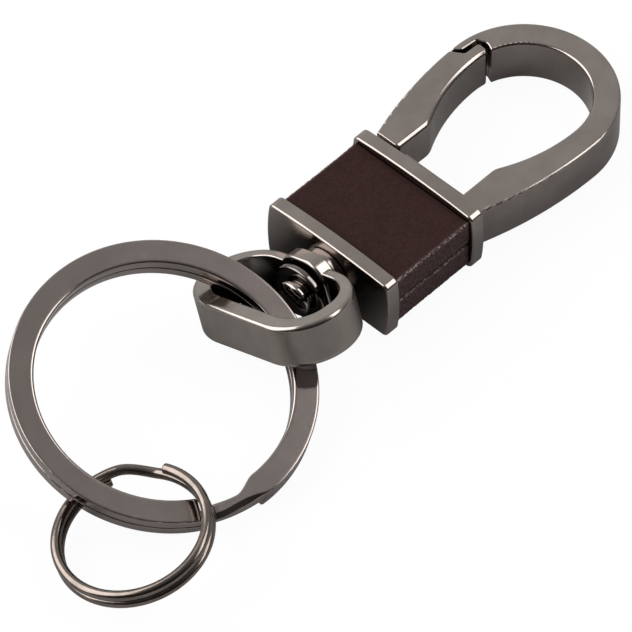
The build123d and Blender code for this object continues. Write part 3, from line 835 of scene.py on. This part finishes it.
# Floor: a sheet that bears on the hook, the link and the large ring
floorPlace = {
    "height": -0.00098,
    "slope": (0.0583, -0.0216),
    "half": 2.0,
    "shade": (-4.5, 3.0, -1.8),  # centre of the painted shadow on the paper, under the link, in millimetres
    "paintedShadowReach": (5.0, 12.0),
    "paintedShadowDark": 0.10,
    "paper": 0.42,  # as the object is lit by it
    "paperSeen": 0.9,  # as the camera sees it
    "glow": 0.06,  # in reflections
    "sheer": 0.95,  # how far the camera sees through it
    "dull": 0.9,
}


# the sheet's height = height + slope * place; its paper carries a painted shadow about the shade point,
# plain past its reach
def makeFloor():
    corners = np.array([(-1, -1), (1, -1), (1, 1), (-1, 1)], float) * floorPlace["half"]
    places = np.column_stack([corners, floorPlace["height"] + corners @ floorPlace["slope"]])
    mesh = bpy.data.meshes.new("floor")
    mesh.from_pydata(places.tolist(), [], [(0, 1, 2, 3)])
    floor = bpy.data.objects.new("floor", mesh)
    scene.collection.objects.link(floor)
    material, shader, use = startMaterial("floorSheet")
    shader.inputs["Roughness"].default_value = floorPlace["dull"]
    shader.inputs["Specular IOR Level"].default_value = 0.0
    distance = {"operation": "DISTANCE"}
    away = use.node("ShaderNodeVectorMath", distance, spread(use, 1.0), floorPlace["shade"], output="Value")
    shade = *floorPlace["paintedShadowReach"], floorPlace["paintedShadowDark"], 1.0
    # painted shadow: the paper under the link is darkened towards the darkest share, fading to plain past
    # the reach, and the glow in reflections drops with it
    clear = use.node("ShaderNodeMapRange", None, away, *shade)
    seen = use.node("ShaderNodeLightPath", output="Is Camera Ray")
    mirrored = use.node("ShaderNodeLightPath", output="Is Glossy Ray")
    through = use.node("ShaderNodeLightPath", output="Is Transmission Ray")
    feed(material, shader, {
        "Base Color": clear * floorPlace["paper"] * (1 - seen) + seen * floorPlace["paperSeen"],
    })
    glow = use.node("ShaderNodeEmission", None, (1, 1, 1, 1), 1.0)
    share = (mirrored + through) * clear * floorPlace["glow"]
    paper = Shade(material.node_tree, shader.outputs[0])
    sheet = use.node("ShaderNodeMixShader", None, share, paper, glow)
    # the camera sees the white backdrop and the shadow through the sheet, and what a pose puts below it
    bare = use.node("ShaderNodeBsdfTransparent")
    mixed = use.node("ShaderNodeMixShader", None, seen * floorPlace["sheer"], sheet, bare)
    output = material.node_tree.nodes["Material Output"]
    material.node_tree.links.new(mixed.socket, output.inputs["Surface"])
    mesh.materials.append(material)


makeFloor()

# Studio: a dim room that brightens behind the hook, and two softboxes
studio = {
    "brightest": (60, 15),  # azimuth and elevation
    "brightLight": 0.77,
    "roomLight": 0.02,
    "falloff": 1.9,
}


# a unit step from the origin: (cos a * cos e, sin a * cos e, sin e)
def direction(azimuth, elevation):
    a, e = radians(azimuth), radians(elevation)
    return Vector((cos(a) * cos(e), sin(a) * cos(e), sin(e)))


# light = brightLight * (how nearly a ray points to the brightest place, 0 to 1) ** falloff + roomLight
def makeWorld():
    world = bpy.data.worlds.new("studio")
    world.use_nodes = True
    tree = world.node_tree
    use = Shade(tree, None)
    look = use.node("ShaderNodeTexCoord", output="Generated")
    brightest = direction(*studio["brightest"])
    toward = use.node("ShaderNodeVectorMath", {"operation": "DOT_PRODUCT"}, look, brightest, output="Value")
    share = use.node("ShaderNodeMapRange", None, toward, -1.0, 1.0, 0.0, 1.0)
    light = share ** studio["falloff"] * studio["brightLight"] + studio["roomLight"]
    seen = use.node("ShaderNodeLightPath", output="Is Camera Ray")
    level = seen + (1 - seen) * light
    tree.links.new(level.socket, tree.nodes["Background"].inputs["Strength"])
    tree.nodes["Background"].inputs["Color"].default_value = (1, 1, 1, 1)
    scene.world = world


makeWorld()

# each softbox runs between two directions, at arm's length
softboxes = {
    "leftBox": {"start": (130, 5), "end": (130, 65), "away": 1.0, "breadth": 1.0, "radiance": 3.5},
    "rightBox": {"start": (-3, 60), "end": (-60, 24), "away": 1.0, "breadth": 0.28, "radiance": 3.8},
}


# energy = radiance * pi * length * breadth, and the box faces the origin
def makeSoftbox(name, box):
    start, end = (direction(*box[place]) * box["away"] for place in ("start", "end"))
    data = bpy.data.lights.new(name, "AREA")
    data.shape, data.size, data.size_y = "RECTANGLE", (end - start).length, box["breadth"]
    data.energy = box["radiance"] * pi * data.size * data.size_y
    lamp = bpy.data.objects.new(name, data)
    scene.collection.objects.link(lamp)
    out, along = (start + end).normalized(), (end - start).normalized()
    turn = Matrix((along, out.cross(along), out)).transposed().to_4x4()
    lamp.matrix_world = Matrix.Translation((start + end) / 2) @ turn


for name, box in softboxes.items():
    makeSoftbox(name, box)
print("stage done")
